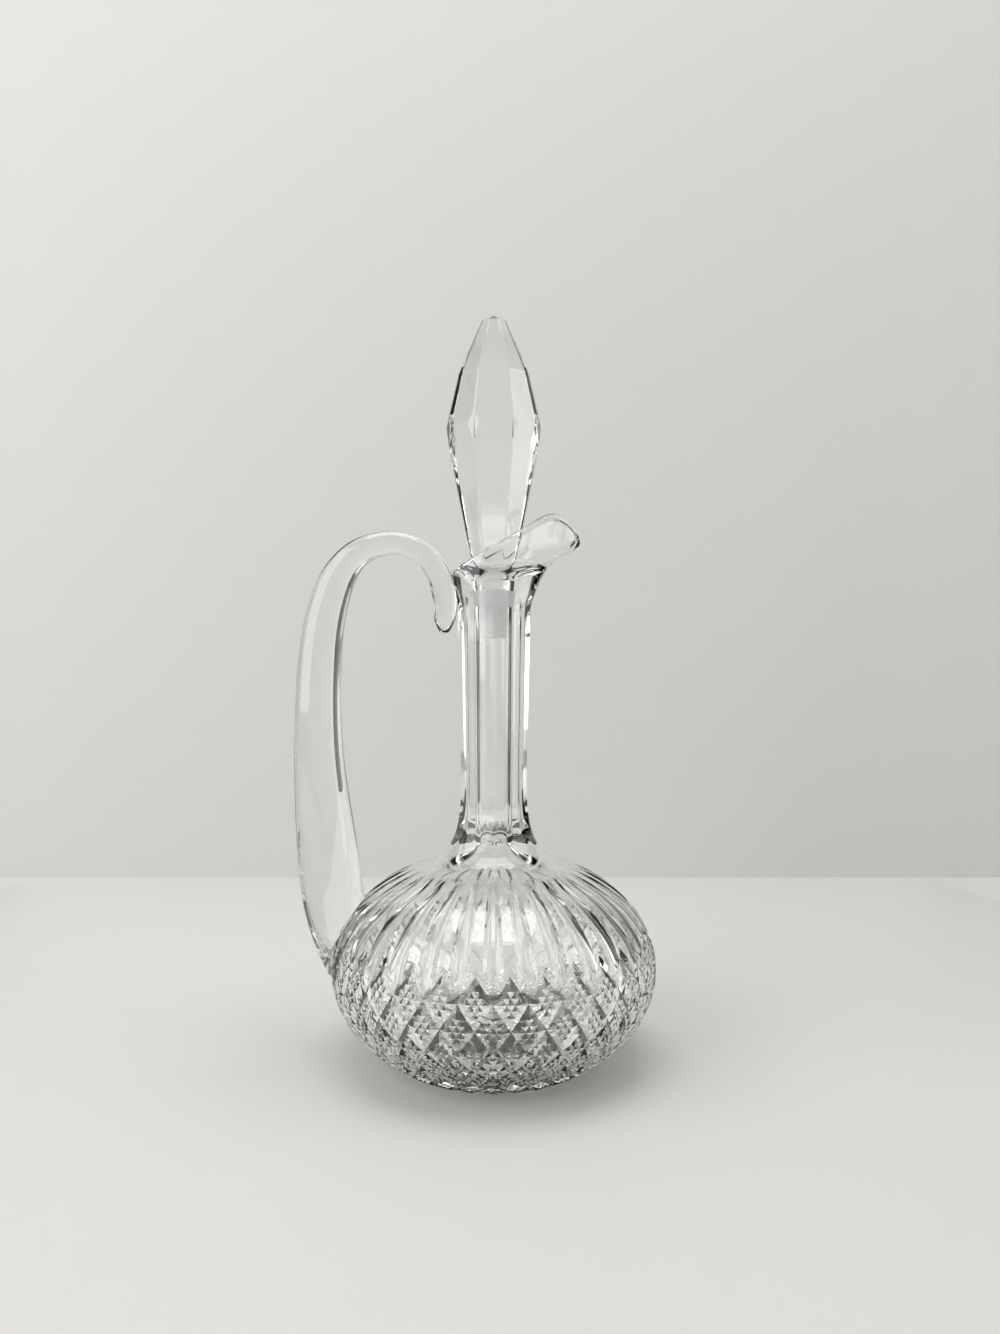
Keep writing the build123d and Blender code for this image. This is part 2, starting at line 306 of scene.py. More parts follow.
def shape_ring(bm, ring, place):
    """Puts each vertex of a ring where place(turn) says."""
    layer = bm.verts.layers.float["turn"]
    for vert in {vert for edge in ring for vert in edge.verts}:
        vert.co = place(vert[layer])
    return ring


def draw_ring(bm, ring, place):
    """Extrudes a ring and puts each new vertex where place(turn) says."""
    made = bmesh.ops.extrude_edge_only(bm, edges=ring)["geom"]
    verts = {item for item in made if isinstance(item, bmesh.types.BMVert)}
    edges = [item for item in made if isinstance(item, bmesh.types.BMEdge)]
    edges = [edge for edge in edges if edge.verts[0] in verts and edge.verts[1] in verts]
    return shape_ring(bm, edges, place)


def thin_ring(bm, ring, columns, radius, height):
    """Extrudes a ring onto fewer columns, level and round, and welds what falls together."""
    layer = bm.verts.layers.float["turn"]
    spacing = HALF_COLUMNS / columns
    ring = draw_ring(bm, ring, lambda turn: around(round(turn / spacing) * spacing, radius, height))
    verts = {vert for edge in ring for vert in edge.verts}
    for vert in verts:
        vert[layer] = round(vert[layer] / spacing) % columns * spacing
    bmesh.ops.remove_doubles(bm, verts=list(verts), dist=RING_WELD)
    left = {vert for vert in verts if vert.is_valid}
    edges = {edge for vert in left for edge in vert.link_edges}
    return [edge for edge in edges if edge.verts[0] in left and edge.verts[1] in left]


def close_ring(bm, ring, point):
    last = draw_ring(bm, ring, lambda turn: point)
    verts = list({vert for edge in last for vert in edge.verts})
    bmesh.ops.pointmerge(bm, verts=verts, merge_co=point)


def face_outward(bm):
    """Turns the faces of closed glass to point out of it."""
    bmesh.ops.recalc_face_normals(bm, faces=bm.faces)
    if bm.calc_volume(signed=True) < 0:
        bmesh.ops.reverse_faces(bm, faces=bm.faces)


def crease(bm, degrees):
    """Smooth faces with a sharp edge wherever two faces meet at more than the angle."""
    limit = math.radians(degrees)
    for face in bm.faces:
        face.smooth = True
    for edge in bm.edges:
        edge.smooth = len(edge.link_faces) == 2 and edge.calc_face_angle() < limit


def mesh_object(bm, name):
    """Writes a bmesh to a new object at the origin."""
    mesh = bpy.data.meshes.new(name)
    bm.to_mesh(mesh)
    bm.free()
    item = bpy.data.objects.new(name, mesh)
    bpy.context.scene.collection.objects.link(item)
    return item


def finish_piece(bm, name, materials, body, node):
    """Makes the piece, gives it its materials, ties it to its body and hides its CAD node."""
    if any(len(edge.link_faces) != 2 for edge in bm.edges):
        raise RuntimeError(f"{name} isn't closed")
    piece = mesh_object(bm, name)
    for material in materials:
        piece.data.materials.append(material)
    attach(piece, body)
    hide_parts(node)
    return piece


def add_diamonds(bm, groove_depth, hatch_depth):
    """Rows of raised diamonds between mitre grooves, each crosshatched with fine pyramids."""
    drop = bm.verts.layers.float.new("drop")
    made = bmesh.ops.create_grid(bm, x_segments=CUTS, y_segments=CUTS, size=0.5)
    for vert in made["verts"]:
        i = round((vert.co.x + 0.5) * CUTS)
        j = round((vert.co.y + 0.5) * CUTS)
        on_groove = i in (0, CUTS) or j in (0, CUTS)
        on_hatch = i % 2 == 1 or j % 2 == 1
        vert[drop] = groove_depth if on_groove else hatch_depth if on_hatch else 0.0
        vert.co = (STEPS[i], STEPS[j], -100 * vert[drop])
    pattern = made["verts"]
    faces = list({face for vert in pattern for face in vert.link_faces})
    bmesh.ops.triangulate(bm, faces=faces, quad_method="LONG_EDGE")
    geometry = list({item for vert in pattern for item in (vert, *vert.link_edges, *vert.link_faces)})
    for row in range(ROW_COUNT - 1):
        for column in range(HALF_COLUMNS // 2):
            turn = 2 * column + (row + 1) % 2
            copy = bmesh.ops.duplicate(bm, geom=geometry)["geom"]
            for vert in (item for item in copy if isinstance(item, bmesh.types.BMVert)):
                across, down = vert.co.x, vert.co.y
                latitude = row_latitude(row + across + down)
                vert.co = bulb_point(turn + across - down, latitude, vert[drop])
    bmesh.ops.delete(bm, geom=pattern, context="VERTS")


def upper_zigzag(turn):
    """Row number of the groove line that ends the flutes."""
    return abs(1 - turn % 2)


def lower_zigzag(turn):
    """Row number of the groove line over the plain band at the foot."""
    return ROW_COUNT - abs(1 - (turn + ROW_COUNT) % 2)


def add_flutes(bm, groove_depth, flute_depth):
    """Hollow flutes from the diamonds up to the flare of the neck, where they run out."""
    ring = new_ring(bm, CUT_TURNS)
    top = math.acos(RING_RADIUS / BULB_RADIUS)
    wall = GROOVE_WALL * 2 * (ROWS[0] - ROWS[1])
    shape_ring(bm, ring, lambda turn: bulb_point(turn, row_latitude(upper_zigzag(turn)), groove_depth))
    for step in range(FLUTE_RINGS + 1):

        def place(turn):
            start = row_latitude(upper_zigzag(turn)) + wall
            latitude = start + (top - start) * step / FLUTE_RINGS
            offset = min(turn % 2, 2 - turn % 2) / FLUTE_EDGE
            hollow = max(0.0, 1 - offset * offset) * math.cos(latitude)
            fade = 1 - smooth_step(top - FLUTE_FADE, top, latitude)
            return bulb_point(turn, latitude, flute_depth * hollow * fade)

        ring = draw_ring(bm, ring, place)
    return ring


def star_outline(turn, share):
    """Point between the star's edge and its heart, under the foot."""
    i = int(turn / 2)
    ends = [around(2 * k, STAR_NOTCH if k % 2 else STAR_REACH, 0.0) for k in (i, i + 1)]
    edge = ends[0].lerp(ends[1], turn / 2 - i)
    return edge.lerp(Vector((0, 0, STAR_DEPTH)), share)


def add_foot(bm, groove_depth):
    """Plain band under the last grooves, the resting ring and the star cut inside it."""
    ring = new_ring(bm, CUT_TURNS)
    foot = latitude_at(0.0)
    wall = GROOVE_WALL * 2 * (ROWS[-2] - ROWS[-1])
    shape_ring(bm, ring, lambda turn: bulb_point(turn, row_latitude(lower_zigzag(turn)), groove_depth))

    def below_groove(turn):
        start = row_latitude(lower_zigzag(turn))
        return bulb_point(turn, start - min(wall, (start - foot) / 2), 0.0)

    ring = draw_ring(bm, ring, below_groove)
    ring = draw_ring(bm, ring, lambda turn: bulb_point(turn, foot, 0.0))
    ring = draw_ring(bm, ring, lambda turn: star_outline(turn, 0.0))
    ring = draw_ring(bm, ring, lambda turn: star_outline(turn, STAR_STEP))
    close_ring(bm, ring, Vector((0, 0, STAR_DEPTH)))


def paneled(turn, radius, height):
    """Radius of the neck where a flat panel crosses it; the panels run out at both ends."""
    cut = smooth_step(*PANEL_FOOT, height) * (1 - smooth_step(*PANEL_HEAD, height))
    half = math.pi / PANELS
    offset = (turn * HALF_PITCH) % (2 * half) - half
    flat = radius * (1 - cut * (1 - math.cos(half)))
    return min(radius, flat / math.cos(offset))


def neck_outline():
    """Radius and height up the neck: a hollow flare, then the straight stem."""
    latitude = math.acos(RING_RADIUS / BULB_RADIUS)
    tangent = Vector((-BULB_RADIUS * math.sin(latitude), 0, BULB_HALF_HEIGHT * math.cos(latitude)))
    foot = bulb_point(0, latitude, 0.0)
    waist = Vector((WAIST_RADIUS, 0, WAIST_HEIGHT))
    stem_top = Vector((STEM_TOP_RADIUS, 0, STEM_TOP_HEIGHT))
    foot_pull = foot + tangent.normalized() * FOOT_PULL
    waist_pull = waist - (stem_top - waist).normalized() * WAIST_PULL
    points = interpolate_bezier(foot, foot_pull, waist_pull, waist, FLARE_RINGS)
    points += [waist.lerp(stem_top, i / STEM_RINGS) for i in range(1, STEM_RINGS + 1)]
    return [(point.x, point.z) for point in points[1:]]


def lip_point(turn, height, wall):
    """Point on the egg-shaped section of the lip, drawn in by wall."""
    up = max(0.0, (height - STEM_TOP_HEIGHT) / (LIP_NOSE_HEIGHT - STEM_TOP_HEIGHT))
    out = eased([(section[0], section[1]) for section in LIP_SECTIONS], up)
    pinch = eased([(section[0], section[2]) for section in LIP_SECTIONS], up)
    angle = turn * HALF_PITCH
    swell = smooth_step(0, 0.6, up)
    back = STEM_TOP_RADIUS + (LIP_BACK - STEM_TOP_RADIUS) * swell - wall
    front = STEM_TOP_RADIUS + (LIP_REACH - STEM_TOP_RADIUS) * out - wall
    width = STEM_TOP_RADIUS + (LIP_HALF_WIDTH - STEM_TOP_RADIUS) * swell - wall
    narrow = 1 - LIP_PINCH * pinch * ((1 + math.cos(angle)) / 2) ** 2
    x = (front - back) / 2 + (front + back) / 2 * math.cos(angle)
    return Vector((x, width * math.sin(angle) * narrow, height))


def rim_height_at(turn, wall):
    """Height where the side of the lip meets the rim, found by halving."""
    low, high = STEM_TOP_HEIGHT, EWER_HIGH.z
    for _ in range(30):
        middle = (low + high) / 2
        if middle < eased(RIM, lip_point(turn, middle, wall).x):
            low = middle
        else:
            high = middle
    return low


def inside_point(turn, share):
    """Inside of the lip, from the ledge over the seat (0) up to the rim (1)."""
    top = rim_height_at(turn, LIP_WALL)
    height = LEDGE_HEIGHT + (top - LEDGE_HEIGHT) * share
    lip = lip_point(turn, height - LIP_WALL / 2, LIP_WALL)
    lip.z = height
    ring = around(turn, PLUG_RADIUS + LIP_WALL / 2, height)
    return ring.lerp(lip, smooth_step(0, LEDGE_BLEND, height - LEDGE_HEIGHT))


def add_neck_and_lip(bm, ring):
    """Outside of the neck and lip, over the rim and down inside to the ledge over the seat."""
    outline = neck_outline()
    ring = thin_ring(bm, ring, NECK_COLUMNS, *outline[0])
    for radius, height in outline[1:]:
        ring = draw_ring(bm, ring, lambda turn: around(turn, paneled(turn, radius, height), height))
    for step in range(1, LIP_RINGS + 1):

        def place(turn):
            top = rim_height_at(turn, 0.0)
            height = STEM_TOP_HEIGHT + (top - STEM_TOP_HEIGHT) * step / LIP_RINGS
            point = lip_point(turn, height, 0.0)
            radius = math.hypot(point.x, point.y)
            share = paneled(turn, radius, point.z) / radius
            return Vector((point.x * share, point.y * share, point.z))

        ring = draw_ring(bm, ring, place)
    outer = ring
    ring = inner = draw_ring(bm, ring, lambda turn: inside_point(turn, 1.0))
    for step in range(LIP_INNER_RINGS - 1, -1, -1):
        ring = draw_ring(bm, ring, lambda turn: inside_point(turn, step / LIP_INNER_RINGS))
    bmesh.ops.bevel(bm, geom=outer + inner, offset=LIP_WALL * RIM_ROUNDING, segments=4, profile=0.5,
                    affect="EDGES", material=-1)
    return ring


def seat_radius(height):
    return PLUG_RADIUS - (PLUG_TOP - height) * PLUG_TAPER + PLUG_CLEARANCE


def inside_outline():
    """Radius and height down the inside: ground seat, bore, its flared foot, bulb and floor."""
    points = [(seat_radius(height), height) for height in (LEDGE_HEIGHT, GRIND_TOP, SEAT_LOW)]
    foot = [Vector((radius, 0, height)) for radius, height in BORE_FOOT]
    for i in range(1, BORE_RINGS + 1):
        share = i / BORE_RINGS
        radius = seat_radius(SEAT_LOW) + (foot[0].x - seat_radius(SEAT_LOW)) * share
        points.append((radius, SEAT_LOW + (foot[0].z - SEAT_LOW) * share))
    points += [(point.x, point.z) for point in interpolate_bezier(*foot, BORE_FOOT_RINGS)[1:]]
    wide = BULB_RADIUS - BULB_WALL
    high = BULB_HALF_HEIGHT - BULB_WALL
    start = math.acos((points[-1][0] + BORE_FOOT_STEP) / wide)
    end = math.asin((FLOOR_HEIGHT + FLOOR_CORNER - BULB_CENTRE) / high)
    for i in range(BULB_INNER_RINGS + 1):
        angle = start + (end - start) * i / BULB_INNER_RINGS
        points.append((wide * math.cos(angle), BULB_CENTRE + high * math.sin(angle)))
    corner = Vector((points[-1][0], 0, points[-1][1]))
    bend = Vector((corner.x - FLOOR_CORNER, 0, FLOOR_HEIGHT))
    flat = Vector((FLOOR_RADIUS, 0, FLOOR_HEIGHT))
    points += [(point.x, point.z) for point in interpolate_bezier(corner, bend, bend, flat, 8)[1:]]
    return points + [(FLOOR_RADIUS / 2, FLOOR_HEIGHT), (FLOOR_HEART, FLOOR_HEIGHT)]


def add_inside(bm, ring):
    """Seat, bore and bulb inside; the seat's faces are ground matt."""
    ground = []
    for radius, height in inside_outline():
        before = set(bm.faces)
        ring = draw_ring(bm, ring, lambda turn: around(turn, radius, height))
        if height == SEAT_LOW:
            ground = [face for face in bm.faces if face not in before]
    close_ring(bm, ring, Vector((0, 0, FLOOR_HEIGHT)))
    for face in ground:
        face.material_index = 1


def handle_path():
    """Centre, tangent and thickness at even steps along the handle."""
    along = [0.0]
    for a, b in zip(HANDLE_STATIONS, HANDLE_STATIONS[1:]):
        along.append(along[-1] + math.hypot(b[0] - a[0], b[1] - a[1]))
    curves = [[(s, station[k]) for s, station in zip(along, HANDLE_STATIONS)] for k in range(3)]
    points = []
    for i in range(HANDLE_RINGS + 1):
        at = along[-1] * i / HANDLE_RINGS
        reach, height, thickness = (eased(curve, at) for curve in curves)
        points.append((Vector((-reach, 0, height)), thickness))
    path = []
    for i, (centre, thickness) in enumerate(points):
        ahead = points[min(i + 1, HANDLE_RINGS)][0] - points[max(i - 1, 0)][0]
        path.append((centre, ahead.normalized(), thickness))
    return path


def handle_ring(turn, centre, tangent, thickness):
    """Point on the upright ellipse of the handle's section."""
    angle = turn * HALF_PITCH
    side = Vector((tangent.z, 0, -tangent.x))
    across = Vector((0, thickness / 2 * HANDLE_BREADTH * math.sin(angle), 0))
    return centre + side * (thickness / 2 * math.cos(angle)) + across


def add_handle(bm):
    """Rod of upright ellipses, its tail end sheared flat with a softened rim."""
    path = handle_path()
    centre, tangent, thickness = path[0]
    ring = new_ring(bm, even_turns(HANDLE_COLUMNS))
    soft = thickness * TAIL_SHRINK
    shape_ring(bm, ring, lambda turn: handle_ring(turn, centre - tangent * TAIL_CAP, tangent, soft))
    tail = ring
    for centre, tangent, thickness in path:
        ring = draw_ring(bm, ring, lambda turn: handle_ring(turn, centre, tangent, thickness))
    close_ring(bm, tail, path[0][0] - path[0][1] * TAIL_CAP)
    close_ring(bm, ring, path[-1][0])


def trim_to_bulb(handle):
    """Cuts the handle's foot to the bulb's curve, a little inside the bulb's wall."""
    bm = bmesh.new()
    bmesh.ops.create_uvsphere(bm, u_segments=96, v_segments=64, radius=1.0)
    wide = BULB_RADIUS - HANDLE_SINK
    bmesh.ops.scale(bm, verts=bm.verts, vec=(wide, wide, BULB_HALF_HEIGHT - HANDLE_SINK))
    bmesh.ops.translate(bm, verts=bm.verts, vec=(0, 0, BULB_CENTRE))
    ball = mesh_object(bm, "bulb_ball")
    cut = handle.modifiers.new("bulb", "BOOLEAN")
    cut.object = ball
    with bpy.context.temp_override(object=handle):
        bpy.ops.object.modifier_apply(modifier=cut.name)
    bpy.data.objects.remove(ball)


def finial_point(turn, height, apothem):
    """Point on one octagonal tier, with flats towards the lip and the handle."""
    half = math.pi / FACETS
    offset = (turn * HALF_PITCH + half) % (2 * half) - half
    return around(turn, apothem / math.cos(offset), height)


def add_finial(bm, ring, facet_bevel):
    """Eight-sided spire, its girdle corners cut to small facets and every arris softened."""
    before = set(bm.verts)
    for height, apothem in FINIAL_TIERS:
        ring = draw_ring(bm, ring, lambda turn: finial_point(turn, height, apothem))
    close_ring(bm, ring, Vector((0, 0, STOPPER_HIGH.z)))
    reach = max(apothem for _, apothem in FINIAL_TIERS) / math.cos(math.pi / FACETS) - GIRDLE_TRIM
    for i in range(FACETS):
        normal = around((i + 0.5) * HALF_COLUMNS / FACETS, 1.0, 0.0)
        everything = bm.verts[:] + bm.edges[:] + bm.faces[:]
        cut = bmesh.ops.bisect_plane(
            bm, geom=everything, plane_co=normal * reach, plane_no=normal, clear_outer=True)
        open_edges = [item for item in cut["geom_cut"] if isinstance(item, bmesh.types.BMEdge)]
        bmesh.ops.holes_fill(bm, edges=open_edges, sides=0)
    verts = [vert for vert in bm.verts if vert not in before]
    bmesh.ops.dissolve_limit(
        bm, angle_limit=math.radians(0.5), verts=verts,
        edges=list({edge for vert in verts for edge in vert.link_edges}))
    arrises = [
        edge for edge in bm.edges
        if max(vert.co.z for vert in edge.verts) > FINIAL_TIERS[0][0] + ARRIS_MARGIN
        and min(vert.co.z for vert in edge.verts) < FINIAL_TIERS[-1][0] - ARRIS_MARGIN
        and edge.calc_face_angle() > math.radians(8)
    ]
    bmesh.ops.bevel(bm, geom=arrises, offset=facet_bevel, segments=3, profile=0.5,
                    affect="EDGES", material=-1)


def add_plug(bm):
    """Ground plug from its flat end up to the collar. Returns the ring on top of the collar."""
    low = STOPPER_LOW.z
    shoulder = low + PLUG_CHAMFER
    outline = [
        (seat_radius(shoulder) - PLUG_CLEARANCE, shoulder),
        (seat_radius(GRIND_TOP) - PLUG_CLEARANCE, GRIND_TOP),
        (PLUG_RADIUS, PLUG_TOP),
        (PLUG_RADIUS, PLUG_TOP + PLUG_COLLAR * 0.6),
    ]
    end = new_ring(bm, even_turns(STOPPER_COLUMNS))
    shape_ring(bm, end, lambda turn: around(turn, outline[0][0] - PLUG_CHAMFER, low))
    ring = end
    ground = []
    for radius, height in outline:
        before = set(bm.faces)
        ring = draw_ring(bm, ring, lambda turn: around(turn, radius, height))
        if height == GRIND_TOP:
            ground = [face for face in bm.faces if face not in before]
    close_ring(bm, end, Vector((0, 0, low)))
    for face in ground:
        face.material_index = 1
    return ring


def sum_node(tree, operation, *values):
    """Math node whose inputs are numbers or other nodes' outputs. Returns its output."""
    node = tree.nodes.new("ShaderNodeMath")
    node.operation = operation
    for socket, value in zip(node.inputs, values):
        if isinstance(value, float):
            socket.default_value = value
        else:
            tree.links.new(value, socket)
    return node.outputs["Value"]


def ripple_group():
    """Shared finish of worked glass: faint tint, uneven polish and the ripple left by the tools."""
    tree = bpy.data.node_groups.new("worked_glass", "ShaderNodeTree")
    face = tree.interface
    face.new_socket("Tint", in_out="INPUT", socket_type="NodeSocketColor")
    for name in ("Roughness", "Ripple", "Ripple Scale", "Grain", "Grain Scale"):
        face.new_socket(name, in_out="INPUT", socket_type="NodeSocketFloat")
    face.new_socket("Color", in_out="OUTPUT", socket_type="NodeSocketColor")
    face.new_socket("Roughness", in_out="OUTPUT", socket_type="NodeSocketFloat")
    face.new_socket("Normal", in_out="OUTPUT", socket_type="NodeSocketVector")
    nodes, link = tree.nodes, tree.links.new
    given = nodes.new("NodeGroupInput").outputs
    put = nodes.new("NodeGroupOutput").inputs
    place = nodes.new("ShaderNodeTexCoord").outputs["Object"]

    def noise(scale, detail):
        texture = nodes.new("ShaderNodeTexNoise")
        texture.inputs["Detail"].default_value = detail
        link(place, texture.inputs["Vector"])
        link(scale, texture.inputs["Scale"])
        return texture.outputs["Fac"]

    def bump(distance, strength, height):
        node = nodes.new("ShaderNodeBump")
        node.inputs["Distance"].default_value = distance
        link(strength, node.inputs["Strength"])
        link(height, node.inputs["Height"])
        return node

    ripple = noise(given["Ripple Scale"], 1.5)
    grain = noise(given["Grain Scale"], 3.0)
    tint = nodes.new("ShaderNodeMix")
    tint.data_type = "RGBA"
    tint.inputs["B"].default_value = (1.0, 1.0, 1.0, 1.0)
    tint.blend_type = "SCREEN"
    link(sum_node(tree, "MULTIPLY", ripple, 0.5), tint.inputs["Factor"])
    link(given["Tint"], tint.inputs["A"])
    link(tint.outputs["Result"], put["Color"])
    spread = sum_node(tree, "MULTIPLY", given["Roughness"], grain)
    link(sum_node(tree, "MULTIPLY_ADD", given["Roughness"], 0.5, spread), put["Roughness"])
    waves = bump(mm(1), given["Ripple"], ripple)
    pits = bump(mm(0.1), given["Grain"], grain)
    link(waves.outputs["Normal"], pits.inputs["Normal"])
    link(pits.outputs["Normal"], put["Normal"])
    return tree


def glass_material(name, tint, roughness, ripple, grain):
    """Crystal of its own tint, polish, ripple and grain, through the shared finish."""
    material = bpy.data.materials.new(name)
    material.use_nodes = True
    shader = material.node_tree.nodes["Principled BSDF"]
    shader.inputs["IOR"].default_value = GLASS_INDEX
    shader.inputs["Transmission Weight"].default_value = 1.0
    shader.inputs["Metallic"].default_value = 0.0
    finish = material.node_tree.nodes.new("ShaderNodeGroup")
    finish.node_tree = bpy.data.node_groups.get("worked_glass") or ripple_group()
    values = {"Roughness": roughness, "Ripple": ripple, "Ripple Scale": RIPPLE_SCALE, "Grain": grain,
              "Grain Scale": GRAIN_SCALE}
    for socket, value in values.items():
        finish.inputs[socket].default_value = value
    finish.inputs["Tint"].default_value = (*tint, 1.0)
    link = material.node_tree.links.new
    link(finish.outputs["Color"], shader.inputs["Base Color"])
    link(finish.outputs["Roughness"], shader.inputs["Roughness"])
    link(finish.outputs["Normal"], shader.inputs["Normal"])
    return material


def plain_material(name, color, roughness):
    material = bpy.data.materials.new(name)
    material.use_nodes = True
    shader = material.node_tree.nodes["Principled BSDF"]
    shader.inputs["Base Color"].default_value = (*color, 1.0)
    shader.inputs["Roughness"].default_value = roughness
    return material


class EwerCutting(bpy.types.PropertyGroup):
    groove_depth: bpy.props.FloatProperty(
        name="Groove depth", description="Depth of the mitre grooves", default=mm(1.25),
        unit="LENGTH")
    hatch_depth: bpy.props.FloatProperty(
        name="Hatch depth", description="Depth of the fine crosshatching", default=mm(0.48),
        unit="LENGTH")
    flute_depth: bpy.props.FloatProperty(
        name="Flute depth", description="Depth of the flutes at the belt", default=mm(1.55),
        unit="LENGTH")
    facet_bevel: bpy.props.FloatProperty(
        name="Arris", description="Width of the softened stopper edges", default=mm(0.6),
        unit="LENGTH")


class EwerGlass(bpy.types.PropertyGroup):
    tint: bpy.props.FloatVectorProperty(
        name="Tint", description="Colour of the crystal", default=(0.975, 0.985, 0.98), subtype="COLOR",
        min=0.0, max=1.0)
    polish: bpy.props.FloatProperty(
        name="Polish", description="Roughness of the polished glass", default=0.012, subtype="FACTOR")
    frost: bpy.props.FloatProperty(
        name="Frost", description="Roughness of the ground seat and plug", default=0.45,
        subtype="FACTOR")
    ripple: bpy.props.FloatProperty(
        name="Ripple", description="Strength of the waves in the blown glass", default=0.03,
        subtype="FACTOR")


class EwerStage(bpy.types.PropertyGroup):
    floor: bpy.props.FloatVectorProperty(
        name="Floor", description="Colour of the floor", default=(0.60, 0.585, 0.56), subtype="COLOR")
    wall: bpy.props.FloatVectorProperty(
        name="Backdrop", description="Colour of the backdrop", default=(0.62, 0.62, 0.60),
        subtype="COLOR")
    window: bpy.props.FloatProperty(
        name="Window", description="Power of the large light at the left", default=12.0, unit="POWER")
    fill: bpy.props.FloatProperty(
        name="Fill", description="Power of the fill light at the right", default=6.0, unit="POWER")
    top: bpy.props.FloatProperty(
        name="Top", description="Power of the light overhead", default=12.0, unit="POWER")
    room: bpy.props.FloatProperty(
        name="Room", description="Strength of the light from the room", default=0.3, subtype="FACTOR")


def clear_and_ground(context, part):
    """Polished and ground glass for one piece."""
    glass = context.scene.ewer_glass
    clear = glass_material(f"crystal_{part}", glass.tint, glass.polish, glass.ripple, POLISHED_GRAIN)
    ground = glass_material(f"ground_{part}", glass.tint, glass.frost, glass.ripple, GROUND_GRAIN)
    shader = ground.node_tree.nodes["Principled BSDF"]
    shader.inputs["Transmission Weight"].default_value = GROUND_CLEARNESS
    return [clear, ground]


class EWER_OT_body(bpy.types.Operator):
    """Blown and cut body: bulb, neck and pouring lip"""

    bl_idname = "ewer.body"
    bl_label = "Body"

    def execute(self, context):
        sizes = context.scene.ewer_cutting
        bm = bmesh.new()
        add_diamonds(bm, sizes.groove_depth, sizes.hatch_depth)
        add_foot(bm, sizes.groove_depth)
        ring = add_flutes(bm, sizes.groove_depth, sizes.flute_depth)
        ring = add_neck_and_lip(bm, ring)
        add_inside(bm, ring)
        bmesh.ops.remove_doubles(bm, verts=bm.verts, dist=SEAM_WELD)
        face_outward(bm)
        crease(bm, 24)
        materials = clear_and_ground(context, "body")
        finish_piece(bm, "cut_body", materials, "ewer", "ewer_body")
        return {"FINISHED"}


class EWER_OT_handle(bpy.types.Operator):
    """Loop handle joined to the bulb and laid on the neck"""

    bl_idname = "ewer.handle"
    bl_label = "Handle"

    def execute(self, context):
        bm = bmesh.new()
        add_handle(bm)
        face_outward(bm)
        materials = clear_and_ground(context, "handle")[:1]
        piece = finish_piece(bm, "drawn_handle", materials, "ewer", "handle")
        trim_to_bulb(piece)
        bm = bmesh.new()
        bm.from_mesh(piece.data)
        face_outward(bm)
        crease(bm, 30)
        bm.to_mesh(piece.data)
        bm.free()
        return {"FINISHED"}


class EWER_OT_stopper(bpy.types.Operator):
    """Faceted stopper with its ground plug"""

    bl_idname = "ewer.stopper"
    bl_label = "Stopper"

    def execute(self, context):
        bm = bmesh.new()
        ring = add_plug(bm)
        add_finial(bm, ring, context.scene.ewer_cutting.facet_bevel)
        face_outward(bm)
        crease(bm, 12)
        for face in bm.faces:
            face.smooth = face.calc_center_median().z < FINIAL_TIERS[0][0]
        materials = clear_and_ground(context, "stopper")
        finish_piece(bm, "cut_stopper", materials, "stopper", "stopper")
        return {"FINISHED"}


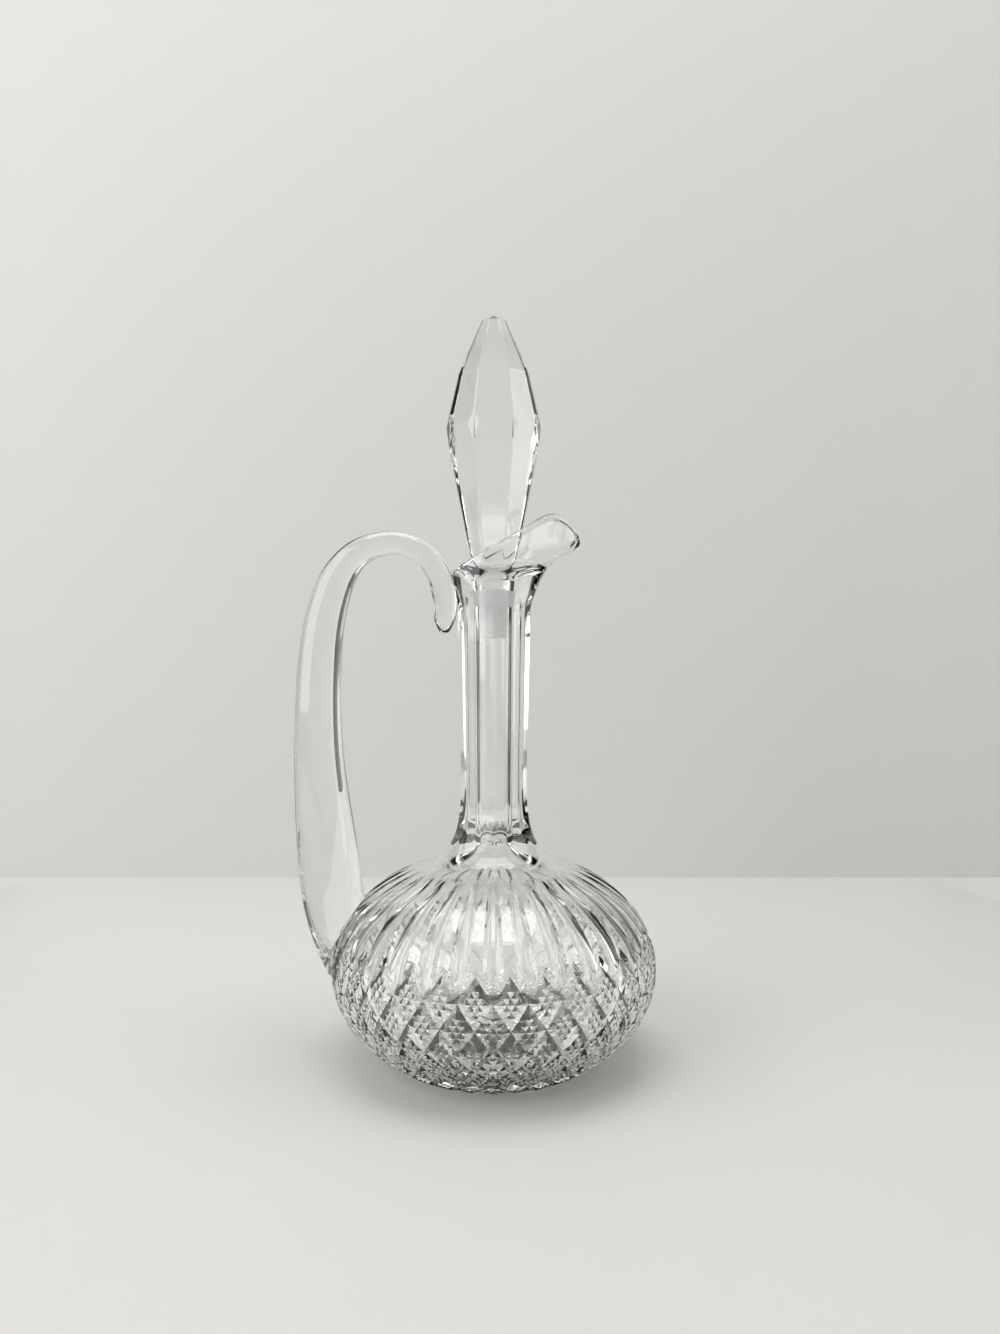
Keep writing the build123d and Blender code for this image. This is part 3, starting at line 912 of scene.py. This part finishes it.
class EWER_OT_stage(bpy.types.Operator):
    """Pale floor and backdrop, studio light and the camera"""

    bl_idname = "ewer.stage"
    bl_label = "Stage"

    def execute(self, context):
        stage = context.scene.ewer_stage
        self.sheet("floor", plain_material("floor_paint", stage.floor, 0.6), (0, 0, 0), (0, 0, 0))
        upright = (math.radians(90), 0, 0)
        wall = plain_material("wall_paint", stage.wall, 0.8)
        self.clear_from_behind(wall)
        self.sheet("wall", wall, (0, 0.30, 1.9), upright)
        self.light("window", (-1.0, -0.55, 0.65), (0, 0, 0.12), (1.2, 1.2), stage.window)
        self.light("fill", (1.2, -0.15, 0.6), (0, 0, 0.12), (1.0, 1.4), stage.fill)
        self.light("top", (0.0, 0.0, 1.4), (0, 0, 0.1), (1.0, 1.0), stage.top)
        # Dark cards seen only in the glass: painted shade that puts dark reflected lines along its
        # edges
        self.card("shade_card_left", 0.10, (-0.36, 0.2, 0.3), (90, 0, 70), (0.09, 0.35))
        self.card("shade_card_right", 0.01, (0.34, 0.2, 0.3), (90, 0, -70), (0.1, 0.35))
        self.card("shade_card_top", 0.03, (0, 0.26, 0.8), (120, 0, 0), (0.45, 0.09))
        context.scene.world = self.room(stage.room, stage.wall)
        camera = bpy.data.objects.new("camera", bpy.data.cameras.new("camera"))
        camera.data.lens = CAMERA_LENS
        camera.data.clip_start = 0.01
        camera.location = CAMERA_PLACE
        camera.rotation_euler = (math.radians(90 - CAMERA_DIP), 0, 0)
        context.scene.collection.objects.link(camera)
        context.scene.camera = camera
        context.scene.view_settings.view_transform = "Standard"
        return {"FINISHED"}

    def clear_from_behind(self, material):
        """Lets the views from behind look through the backdrop."""
        nodes, link = material.node_tree.nodes, material.node_tree.links.new
        side = nodes.new("ShaderNodeNewGeometry")
        clear = nodes.new("ShaderNodeBsdfTransparent")
        mix = nodes.new("ShaderNodeMixShader")
        link(side.outputs["Backfacing"], mix.inputs["Fac"])
        link(nodes["Principled BSDF"].outputs["BSDF"], mix.inputs[1])
        link(clear.outputs["BSDF"], mix.inputs[2])
        link(mix.outputs["Shader"], nodes["Material Output"].inputs["Surface"])

    def card(self, name, grey, place, turn, half_size):
        """Dark card out of the camera's sight, seen only in reflections and through the glass, that
        paints a line of shade along the edges of the glass.
        """
        paint = plain_material(name, (grey, grey, grey), 0.9)
        card = self.sheet(name, paint, place, [math.radians(angle) for angle in turn], half_size)
        card.visible_camera = False
        card.visible_diffuse = False
        card.visible_shadow = False

    def room(self, strength, color):
        """Even light from the room, and the backdrop's colour wherever it is seen."""
        world = bpy.data.worlds.new("room")
        world.use_nodes = True
        nodes, link = world.node_tree.nodes, world.node_tree.links.new
        light = nodes["Background"]
        light.inputs["Color"].default_value = (0.95, 0.97, 1.0, 1.0)
        light.inputs["Strength"].default_value = strength
        seen = nodes.new("ShaderNodeBackground")
        seen.inputs["Color"].default_value = (*color, 1.0)
        path = nodes.new("ShaderNodeLightPath").outputs
        tree = world.node_tree
        mirrored = sum_node(tree, "MAXIMUM", path["Is Camera Ray"], path["Is Glossy Ray"])
        mix = nodes.new("ShaderNodeMixShader")
        link(sum_node(tree, "MAXIMUM", mirrored, path["Is Transmission Ray"]), mix.inputs["Fac"])
        link(light.outputs["Background"], mix.inputs[1])
        link(seen.outputs["Background"], mix.inputs[2])
        link(mix.outputs["Shader"], nodes["World Output"].inputs["Surface"])
        return world

    def sheet(self, name, material, place, turn, half_size=(2.0, 2.0)):
        bm = bmesh.new()
        bmesh.ops.create_grid(bm, x_segments=1, y_segments=1, size=1.0)
        bmesh.ops.scale(bm, verts=bm.verts, vec=(*half_size, 1.0))
        sheet = mesh_object(bm, name)
        sheet.data.materials.append(material)
        sheet.location = place
        sheet.rotation_euler = turn
        return sheet

    def light(self, name, place, target, size, power):
        data = bpy.data.lights.new(name, "AREA")
        data.shape = "RECTANGLE"
        data.size, data.size_y = size
        data.energy = power
        lamp = bpy.data.objects.new(name, data)
        lamp.location = place
        aim = Vector(target) - Vector(place)
        lamp.rotation_euler = aim.to_track_quat("-Z", "Y").to_euler()
        bpy.context.scene.collection.objects.link(lamp)


class EWER_PT_sidebar(bpy.types.Panel):
    """Sizes, glass and stage of the ewer, with a button for each piece"""

    bl_idname = "EWER_PT_sidebar"
    bl_label = "Cut glass ewer"
    bl_space_type = "VIEW_3D"
    bl_region_type = "UI"
    bl_category = "Ewer"

    def draw(self, context):
        scene = context.scene
        for group in (scene.ewer_cutting, scene.ewer_glass, scene.ewer_stage):
            column = self.layout.column(align=True)
            for name in type(group).__annotations__:
                column.prop(group, name)
        for operator in (EWER_OT_body, EWER_OT_handle, EWER_OT_stopper, EWER_OT_stage):
            self.layout.operator(operator.bl_idname)


CLASSES = (
    EwerCutting, EwerGlass, EwerStage,
    EWER_OT_body, EWER_OT_handle, EWER_OT_stopper, EWER_OT_stage, EWER_PT_sidebar,
)


def register():
    for item in CLASSES:
        bpy.utils.register_class(item)
    bpy.types.Scene.ewer_cutting = bpy.props.PointerProperty(type=EwerCutting)
    bpy.types.Scene.ewer_glass = bpy.props.PointerProperty(type=EwerGlass)
    bpy.types.Scene.ewer_stage = bpy.props.PointerProperty(type=EwerStage)


def unregister():
    del bpy.types.Scene.ewer_stage
    del bpy.types.Scene.ewer_glass
    del bpy.types.Scene.ewer_cutting
    for item in reversed(CLASSES):
        bpy.utils.unregister_class(item)


def main():
    register()
    bpy.ops.ewer.body()
    bpy.ops.ewer.handle()
    bpy.ops.ewer.stopper()
    bpy.ops.ewer.stage()


if __name__ == "__main__":
    main()
